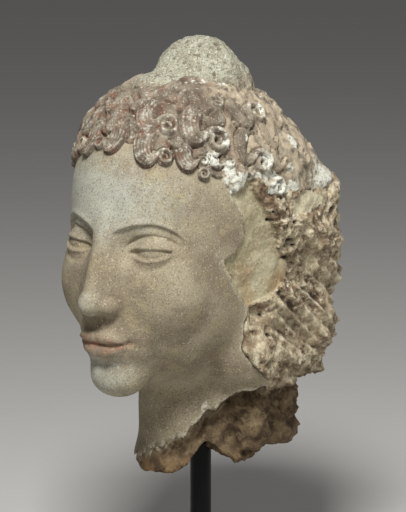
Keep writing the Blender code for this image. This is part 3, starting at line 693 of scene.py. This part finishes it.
# Each lock: azimuth in degrees and height of its snail, the snail's radius, how wide it swings
# and half the breadth of its rope, all in parts; then the side that it swings out to, 1 for
# the viewer's left, and how far it leans that way, in degrees. Without a swing it is a snail
# alone, and without a snail a rope alone.
LOCKS = (
    (-102, 35, 7.0, 8.0, 6.0, -1, 0), (-83, 37, 7.0, 8.0, 6.2, -1, 0), (-64, 45, 6.8, 8.0, 6.4, -1, 0),
    (-46, 54, 6.6, 8.0, 6.4, -1, 0), (-28, 62, 6.6, 7.8, 6.4, -1, 0), (-10, 67, 5.4, 7.6, 6.6, -1, 0),
    (27, 61, 6.8, 8.2, 7.5, 1, 0), (46, 57.5, 4.0, 8.6, 7.0, 1, -4), (46, 49.5, 5.0, 0, 0, 1, 0),
    (60, 55, 4.4, 5.6, 4.0, 1, 0), (93, 33.5, 8.4, 0, 0, 1, 0), (136, 28, 9.0, 0, 0, 1, 0),
    (-101, 57, 7.0, 8.0, 6.0, -1, 0), (-79, 60, 7.2, 8.0, 6.2, -1, 0), (-59, 66, 6.4, 7.6, 6.2, -1, 0),
    (-38, 72, 5.8, 7.2, 6.0, -1, 0), (-17, 76, 5.0, 6.4, 5.4, -1, -6), (4, 80, 5.0, 6.2, 5.2, -1, 6),
    (28, 71, 0, 4.6, 4.6, -1, 0), (27, 91, 0, 4.8, 4.6, -1, 0), (50, 64, 0, 4.2, 4.2, -1, 0),
    (53, 81, 0, 5.0, 4.8, -1, 0), (-2, 78, 0, 4.6, 4.4, 1, 0),
    (27, 79, 9.0, 8.0, 7.3, 1, -8), (54, 69, 10.2, 8.6, 7.4, 1, -14), (69, 80, 0, 7.4, 4.6, -1, 0),
    (82, 52.5, 9.6, 8.2, 4.8, 1, -14), (104, 47, 5.0, 6.0, 3.8, 1, 0), (104, 66, 0, 8.5, 3.8, 1, 12),
    (123, 46.5, 8.7, 0, 0, -1, 0), (125, 72, 6.5, 5.0, 4.2, 1, 0), (93, 82, 9.8, 6.6, 4.6, 1, 30),
    (-95, 80, 6.4, 7.0, 5.6, -1, 0), (-73, 83, 6.2, 7.0, 5.6, -1, 0), (-50, 86, 6.0, 7.0, 5.6, -1, 0),
    (-27, 88, 5.4, 6.6, 5.4, -1, 0), (-6, 91, 5.4, 6.4, 5.2, -1, 8), (18, 97, 5.2, 6.0, 5.0, 1, 8),
    (38, 96, 5.6, 6.0, 5.0, 1, 10), (61, 91, 6.2, 5.6, 4.6, 1, 20), (112, 86, 0, 8.0, 4.2, 1, 10),
)
# Lumps of white ground that stick to the worn side: azimuth, height and spread
PLASTER_SPOTS = ((86, 50, 8), (93, 34, 9), (134, 29, 11), (66, 41, 8), (50, 58, 6), (60, 52, 5),
                 (106, 30, 6), (74, 68, 3), (116, 58, 5), (106, 44, 4), (58, 66, 3), (98, 84, 4))
BACK_LOCK_RADIUS, BACK_ROPE = 8, 5
BACK_ROWS = (44, 62, 80)
BACK_FROM, BACK_TO = 140, 250
HAIR_DEPTH = 3.2              # thickness of the hair under its locks
HAIR_CROWN = 2.4              # how much thicker it gets towards the crown
LOCK_WEAR = 0.45              # share of their relief that the side and back locks have lost
HAIR_SINKS = 0.3              # share of its way to the armature that it sinks where it ends
# A rope's way down to its snail, for a swing of 1: its root, two handles and its end
ROPE_WAY = ((0.5, 2.3), (-1.9, 2.7), (-1.7, -1.9), (0, 0))
ROPE_REACH = 2.9              # how far it gets from the snail's middle, for a swing of 1
ROPE_POINTS, SNAIL_POINTS = 64, 72
SNAIL_TURNS = 1.45
SNAIL_ENTRY = math.radians(150)
ROPE_GROOVES = (0.17, 0.5, 0.82)     # where the grooves run that part a rope into strands


def bend(start, leave, arrive, end, count):
    """Points along a curve that leaves start and comes to end by way of two handles."""
    u = np.linspace(0, 1, count, endpoint=False)
    weights = np.stack([(1 - u) ** 3, 3 * (1 - u) ** 2 * u, 3 * (1 - u) * u ** 2, u ** 3], 1)
    return weights @ np.array((start, leave, arrive, end), float)


def lock_path(snail, swing, breadth):
    """Centre line of one lock, laid flat about its snail's middle with its swing to the left,
    and at each point the rope's half width, its height, and how deep its grooves are."""
    entry = 0.8 * snail * np.array((math.cos(SNAIL_ENTRY), math.sin(SNAIL_ENTRY)))
    paths = []
    if swing:
        down = entry + swing * bend(*ROPE_WAY, ROPE_POINTS)
        t = np.linspace(0, 1, ROPE_POINTS)
        into = max(0.3 * snail, 1.2)
        half_width = np.interp(t, (0, 0.35, 0.75, 1), (0.6 * breadth, breadth, 0.9 * breadth, into))
        height = breadth * np.array((0.1, 0.6, 0.65, 1.3 * into / breadth))
        height = np.interp(t, (0, 0.3, 0.8, 1), height)
        paths.append((down, half_width, height, np.interp(t, (0, 0.2, 0.85, 1), (0.4, 1, 1, 0))))
    if snail:
        wind = np.linspace(0, 1, SNAIL_POINTS)
        angle = SNAIL_ENTRY - wind * SNAIL_TURNS * 2 * math.pi
        reach = snail * (0.8 - 0.6 * wind)
        ring = np.stack([reach * np.cos(angle), reach * np.sin(angle)], 1)
        half_width = snail * np.interp(wind, (0, 0.15, 1), (0.27, 0.215, 0.17))
        height = snail * np.interp(wind, (0, 0.3, 1), (0.40, 0.42, 0.30))
        paths.append((ring, half_width, height, np.zeros(SNAIL_POINTS)))
    return [np.concatenate(parts) for parts in zip(*paths)]


def place_on_skull(azimuth, height, hand, lean):
    """The middle of a lock on the skull, and its own ways aside and up, turned by its lean."""
    centre, radii = np.array(CRANIUM, float)
    level = math.sqrt(1 - ((height - centre[2]) / radii[2]) ** 2)
    turned = math.radians(azimuth)
    turned = math.atan2(radii[1] * math.sin(turned), radii[0] * math.cos(turned))
    middle = centre + radii * (level * math.sin(turned), -level * math.cos(turned), 0)
    middle[2] = height
    way_out = (middle - centre) / radii ** 2
    way_out /= np.linalg.norm(way_out)
    side = np.cross((0, 0, 1), way_out)
    side /= np.linalg.norm(side)
    up = np.cross(way_out, side)
    turn = math.radians(lean)
    leaning_side = side * math.cos(turn) + hand * up * math.sin(turn)
    return middle, leaning_side, up * math.cos(turn) - hand * side * math.sin(turn)


def lay_lock(p, relief, covered, hollow_shade, azimuth, height, snail, swing, breadth, hand, lean, wear):
    """Lays one lock over the others: raises relief, the rise of the hair at points p, and marks
    what it covers and where its grooves, eye and outline get painted shade."""
    middle, side, up = place_on_skull(azimuth, height, hand, lean)
    near = np.nonzero(length(p - middle) < snail + swing * ROPE_REACH + breadth)[0]
    off = p[near] - middle
    flat = np.stack([hand * (off @ side), off @ up], 1)
    line, half_width, stands, grooved = lock_path(snail, swing, breadth)
    shares = length(flat[:, None, :] - line[None]) / half_width
    nearest = shares.argmin(1)
    share = shares[np.arange(len(near)), nearest]
    rope = stands[nearest] * np.clip(1 - share ** 2, 0, 1) ** 0.42
    grooves = sum(bump(share - groove, 0.1) for groove in ROPE_GROOVES) * grooved[nearest]
    lock = np.maximum(rope - 1.3 * grooves, 0)
    on_lock = ramp(1 - share, 0, 0.15)
    outline = bump(np.maximum(share - 1, 0) * half_width[nearest], 0.9) * (share > 1)
    # Painted shade in the grooves, and below in the drilled eye, the gap round the ring and the outline.
    lock_shade = 0.6 * grooves
    if snail:
        round_middle = length(flat) / snail
        upper = np.cos(np.arctan2(flat[:, 1], flat[:, 0]) - math.radians(55))
        eye = np.maximum(0.8 * bump(round_middle, 0.13),
                         bump(round_middle - 0.4, 0.09) * ramp(upper, 0.0, 0.6))
        between = bump(share - 1, 0.3) * (round_middle < 0.75)
        disc = 1 - ramp(round_middle, 0.85, 1.0)
        on_lock = np.maximum(on_lock, disc)
        outline *= 1 - disc
        lock += (0.1 * disc - 0.3 * eye) * snail
        lock_shade = np.maximum(lock_shade, np.maximum(eye, 0.55 * between))
    lock, outline = lock * wear, outline * wear
    own = on_lock > 0.5
    lower = relief[near] - 2.2 * outline
    relief[near] = np.where(own, np.maximum(lower, lock), lower)
    if snail:
        relief[near] = np.where(round_middle < 0.8, lock, relief[near])
    covered[near] = np.maximum(covered[near], on_lock)
    hollow_shade[near] = np.where(own, lock_shade * wear, np.maximum(hollow_shade[near], outline * 0.8))


def all_locks():
    """The values of every lock, ending in the share of its relief that wear has left."""
    for lock in LOCKS:
        yield *lock, 1 - LOCK_WEAR * ramp(lock[0], 86, 116)
    for row, height in enumerate(BACK_ROWS):
        level = math.sqrt(1 - ((height - CRANIUM[0][2]) / CRANIUM[1][2]) ** 2)
        step = math.degrees(2.6 * BACK_LOCK_RADIUS / (level * CRANIUM[1][0]))
        count = int((BACK_TO - BACK_FROM) / step)
        for i in range(count):
            azimuth = BACK_FROM + (i + 0.5 * (row % 2)) * step
            hand = 1 if i % 2 else -1
            yield azimuth, height, BACK_LOCK_RADIUS, BACK_LOCK_RADIUS, BACK_ROPE, hand, 0, 1 - LOCK_WEAR


hair_bm, p, out, inward = clay_body(HAIR_FOCUS, HAIR_PULL)
azimuth, height = azimuth_of(p), p[:, 2]
front = 1 - ramp(azimuth, 10, 60)
torn = ramp(azimuth, 52, 58) * (1 - ramp(azimuth, *TORN_TO))
above = height - hair_edge(azimuth)
from_knot = topknot(p)
off_knot = ramp(from_knot + unevenness(p), -1, 4)

relief, covered, hollow_shade = np.zeros(len(p)), np.zeros(len(p)), np.zeros(len(p))
for lock in all_locks():
    lay_lock(p, relief, covered, hollow_shade, *lock)
tops = relief * off_knot

# White ground, in lumps and along the torn edge
white = np.zeros(len(p))
for spot_azimuth, spot_height, spread in PLASTER_SPOTS:
    aside = np.hypot(np.radians(azimuth - spot_azimuth) * HEAD_ROUND, height - spot_height)
    white = np.maximum(white, bump(aside, spread))
white = np.maximum(white, 0.3 * bump(from_knot - 4, 3) * ramp(azimuth, -20, 20))
white += 0.30 * (1 - ramp(above, 0, 14)) * torn
white = ramp(white + 0.45 * grain(p, 7, 3) + 0.35 * grain(p, 2.4, 3), 0.42, 0.6) * off_knot

# The combed hair between the locks
scalp = ramp(above + 2.5 * grain(p, 7, 3) * torn, -0.6, 0.6)
hair = np.maximum(scalp, covered * ramp(above, -14, -12) * (1 - torn))
waves = grain(p * (1, 1, 0.6), 13, 2)
strands = np.sin(1.6 * azimuth + 6 * waves) * (1 - covered) * (1 - 0.85 * torn)
combed = (0.9 + 1.5 * torn) * waves * (1 - covered) + 0.22 * strands
# Painted shade: the combed hair between the front locks is darkened, most in the troughs of its waves.
shade_between_locks = (0.3 + 0.3 * ramp(-waves, 0, 0.6)) * (1 - covered) * (1 - ramp(azimuth, 62, 90)) * ramp(above, 2, 6)

body = HAIR_DEPTH * (0.55 + 0.45 * ramp(above, 0, 8)) + HAIR_CROWN * ramp(above, 8, 26)
rise = hair * (body + combed) + tops + white * (0.4 + 0.6 * crags(p, 3, 3))
rise -= (0.3 + 0.5 * front) * off_knot * crags(p, 6, 4)
sunk = HAIR_SINKS * np.maximum(1 - hair, 0.6 * (1 - ramp(from_knot, 0.3, 2)))

hair_clay, place = new_material("hair_clay")
grit = place.cloud(0.0012, 4, 0.7)
flakes = place.cloud(0.0045, 6, 0.72)
colour = place.cloud(0.012, 5).ramp(0.36, 0.64).blend(tone(104, 95, 81), tone(150, 141, 122))
worn = place.marked("worn") * place.cloud(0.006, 5).ramp(0.34, 0.58)
colour = (worn * 0.85).blend(colour, tone(184, 169, 143))
red = place.marked("red") * place.cloud(0.008, 5).ramp(0.46, 0.62)
# The red lingers in the hollows, read from the same mask that carries the painted shade.
red = red * (0.15 + 0.85 * place.marked("hollow_shade").ramp(0.05, 0.4))
colour = (red * 0.65).blend(colour, tone(146, 98, 76))
# Pale flecks on the tops of the locks: partly white ground left on the crests, partly painted highlight.
colour = (place.marked("crest_flecks_and_highlight") * flakes.ramp(0.48, 0.62) * 0.8).blend(colour, tone(208, 204, 188))
# Painted shade in the locks' grooves and eyes, between the locks and in the troughs of the strands.
colour = (place.marked("hollow_shade") * 0.95).blend(colour, tone(64, 42, 30))
plastered = place.marked("plaster") * place.cloud(0.003, 5, 0.7).ramp(0.36, 0.5)
colour = plastered.blend(colour, tone(210, 210, 196))
colour = (grit.ramp(0.54, 0.68) * 0.6).blend(colour, tone(100, 82, 64))
colour = (place.cloud(0.0016, 3).ramp(0.6, 0.72) * 0.6).blend(colour, tone(224, 218, 198))
finish_with(hair_clay, colour, 0.82 + 0.15 * grit, 0.5 * grit + 0.5 * flakes, depth=0.0009, gloss=0.35)

clay_piece("head_hair", hair_bm, p + out * rise[:, None] + inward * sunk[:, None], {
    # painted shade in the locks' grooves and eyes, between the locks and in the strands' troughs
    "hollow_shade": np.clip(np.maximum(hollow_shade, shade_between_locks + 0.15 * ramp(-strands, 0.3, 1)) * off_knot, 0, 1),
    # pale flecks on the lock tops, partly white ground and partly painted highlight
    "crest_flecks_and_highlight": ramp(tops, 1.6, 3.4),
    "red": 0.2 + 0.8 * front,
    "worn": torn * (1 - covered * ramp(1 - ramp(azimuth, 80, 100), 0, 1)),
    "plaster": white}, hair_clay)

# The topknot
# The hair gathered on the crown, once curled too. It is worn down to the sandy clay inside,
# full of pinholes, and two bubbles have opened near its top.

KNOT_MIDDLE = np.array((2.0, 22.0, 88.0))
KNOT_CELLS, KNOT_REACH = 72, 80.0
BUBBLES, BUBBLE_RADIUS = ((9.8, 15.8, 132.4), (20.8, 25, 128.7)), 1.5

knot_bm, directions = ball(KNOT_CELLS)
p = surface_along(KNOT_MIDDLE, directions, topknot, 0.0, KNOT_REACH)
lumps = grain(p, LUMP_SIZE, 2)
pitting = crags(p, 5, 4)
bubbles = np.zeros(len(p))
for bubble in BUBBLES:
    towards = np.array(bubble) - KNOT_MIDDLE
    towards /= np.linalg.norm(towards)
    along = (p - KNOT_MIDDLE) @ towards
    off = length(p - KNOT_MIDDLE - along[:, None] * towards)
    bubbles += bump(off, BUBBLE_RADIUS) * (along > 0)
rise = 0.8 + 2 * lumps + 0.9 * pitting + 0.5 * grain(p, 8, 2) - 2.5 * bubbles

knot_clay, place = new_material("knot_clay")
grit = place.cloud(0.0014, 4, 0.7)
colour = place.cloud(0.012, 5).ramp(0.35, 0.65).blend(tone(146, 142, 122), tone(168, 167, 148))
colour = (place.marked("foot") * 0.75).blend(colour, tone(150, 136, 114))
colour = (grit.ramp(0.52, 0.6) * 0.75).blend(colour, tone(84, 77, 66))
colour = (place.cloud(0.0017, 3).ramp(0.56, 0.68) * 0.75).blend(colour, tone(214, 210, 192))
# Painted shade in the pinholes and the opened bubbles.
colour = place.marked("hollow_shade").blend(colour, tone(84, 70, 52))
finish_with(knot_clay, colour, 0.95 - 0.1 * grit, 0.6 * grit + 0.4 * place.cloud(0.004, 6, 0.7),
            depth=0.0011, gloss=0.3)

clay_piece("head_topknot", knot_bm, p + directions * rise[:, None],
           {"hollow_shade": np.clip(0.7 * ramp(-pitting, 0.35, 0.8) + bubbles, 0, 1),
            "foot": 1 - ramp(p[:, 2] + 10 * lumps, 98, 112)}, knot_clay)

# The room
# A plain pale floor, a soft light high above the viewer, a weaker one on the right, and a
# little light from all round.

floor_bm = bmesh.new()
bmesh.ops.create_grid(floor_bm, x_segments=1, y_segments=1, size=12)
floor_mesh = bpy.data.meshes.new("floor")
floor_bm.to_mesh(floor_mesh)
floor_bm.free()
floor = bpy.data.objects.new("floor", floor_mesh)
bpy.context.scene.collection.objects.link(floor)
floor_paint, place = new_material("floor_paint")
floor_colour = place.cloud(0.9, 2).blend(tone(196, 194, 190), tone(202, 200, 196))
finish_with(floor_paint, floor_colour, 0.85 + 0.05 * place.cloud(0.02), place.cloud(0.003), depth=0.0001)
floor_mesh.materials.append(floor_paint)

VIEW_AZIMUTH, VIEW_HEIGHT = math.radians(37), math.radians(12)
VIEW_TARGET = Vector((0.0187, -0.02184, 0.2757))
VIEW_DISTANCE = 1.567
back = Vector((math.sin(VIEW_AZIMUTH) * math.cos(VIEW_HEIGHT),
               -math.cos(VIEW_AZIMUTH) * math.cos(VIEW_HEIGHT), math.sin(VIEW_HEIGHT)))
aside = Vector((math.cos(VIEW_AZIMUTH), math.sin(VIEW_AZIMUTH), 0))


def look_at_head(ob, place):
    """Puts a light or the camera in its place, turned to the head."""
    ob.location = place
    ob.rotation_mode = "QUATERNION"
    ob.rotation_quaternion = (VIEW_TARGET - place).to_track_quat("-Z", "Y")
    bpy.context.scene.collection.objects.link(ob)


def soft_light(name, size, energy, place):
    light = bpy.data.lights.new(name, "AREA")
    light.size = size
    light.energy = energy
    look_at_head(bpy.data.objects.new(name, light), place)


soft_light("key", size=0.4, energy=30,
           place=VIEW_TARGET + back * 0.9 - aside * 0.1 + Vector((0, 0, 0.95)))
soft_light("fill", size=0.8, energy=4,
           place=VIEW_TARGET + back * 0.5 + aside * 1.2 + Vector((0, 0, 0.5)))
world = bpy.data.worlds.new("room")
world.use_nodes = True
world.node_tree.nodes["Background"].inputs["Color"].default_value = (1, 1, 1, 1)
world.node_tree.nodes["Background"].inputs["Strength"].default_value = 0.13
bpy.context.scene.world = world
bpy.context.scene.view_settings.view_transform = "Standard"

camera = bpy.data.cameras.new("camera")
camera.lens, camera.sensor_width = 150, 36
camera_ob = bpy.data.objects.new("camera", camera)
look_at_head(camera_ob, VIEW_TARGET + back * VIEW_DISTANCE)
bpy.context.scene.camera = camera_ob
